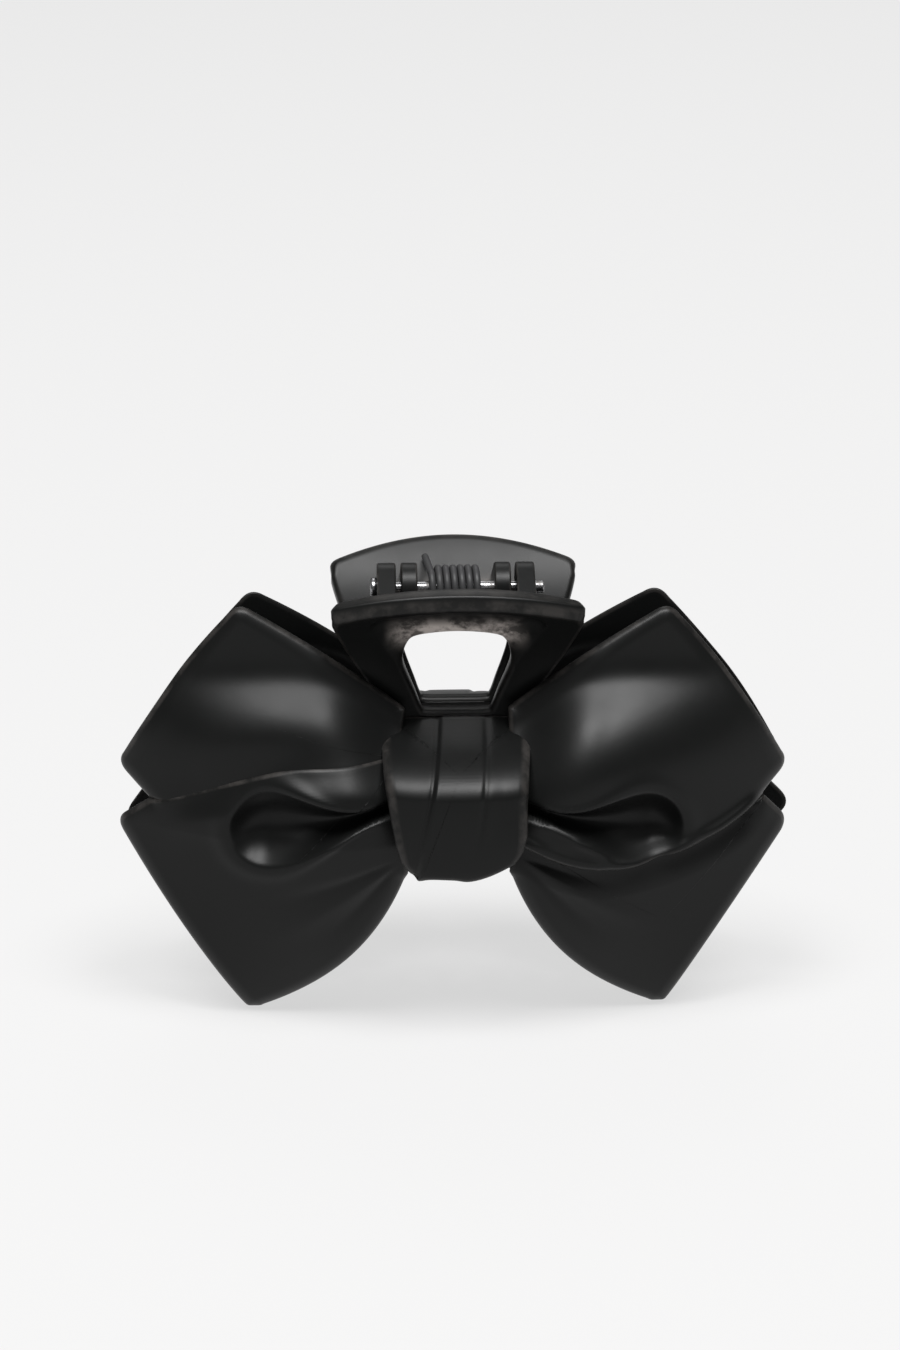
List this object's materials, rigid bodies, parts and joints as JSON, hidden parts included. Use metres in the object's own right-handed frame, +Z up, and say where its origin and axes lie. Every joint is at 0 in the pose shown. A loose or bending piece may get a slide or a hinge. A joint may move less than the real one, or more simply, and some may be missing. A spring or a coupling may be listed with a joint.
{
  "type": "claw clip",
  "caption": "Spring claw clip for hair shaped as a bow, with windowed thumb tabs, a torsion spring on a hinge pin and combs inside two hollow jaws",
  "frame": {"origin": "under the middle of the closed clip, on the plane that its four tail tips stand on", "axes": "+X across the bow to the right as seen from the front jaw, +Y from the front jaw to the rear jaw, +Z up from the tail tips to the thumb tabs"},
  "size_m": [0.1078, 0.047, 0.0751],
  "materials": {
    "coated_plastic": "soft-touch matte",
    "pin_steel": "bright drawn steel",
    "spring_steel": "thin matte coat over steel wire"
  },
  "bodies": {
    "front_jaw": {"front_thumb_tab": "coated_plastic", "front_knot": "coated_plastic", "front_comb": "coated_plastic", "front_left_loop": "coated_plastic", "front_right_loop": "coated_plastic", "front_left_tail": "coated_plastic", "front_right_tail": "coated_plastic", "hinge_pin": "pin_steel", "torsion_spring": "spring_steel"},
    "rear_jaw": {"rear_thumb_tab": "coated_plastic", "rear_knot": "coated_plastic", "rear_comb": "coated_plastic", "rear_left_loop": "coated_plastic", "rear_right_loop": "coated_plastic", "rear_left_tail": "coated_plastic", "rear_right_tail": "coated_plastic"}
  },
  "joints": [
    {"name": "jaw_hinge", "type": "hinge", "parent": "front_jaw", "child": "rear_jaw", "pos_m": [0, 0, 0.0707], "axis": [1, 0, 0], "range_deg": [0, 60], "stiffness_Nm_per_rad": 0.12, "springref_deg": -51.57, "deforming": ["torsion_spring"]}
  ]
}
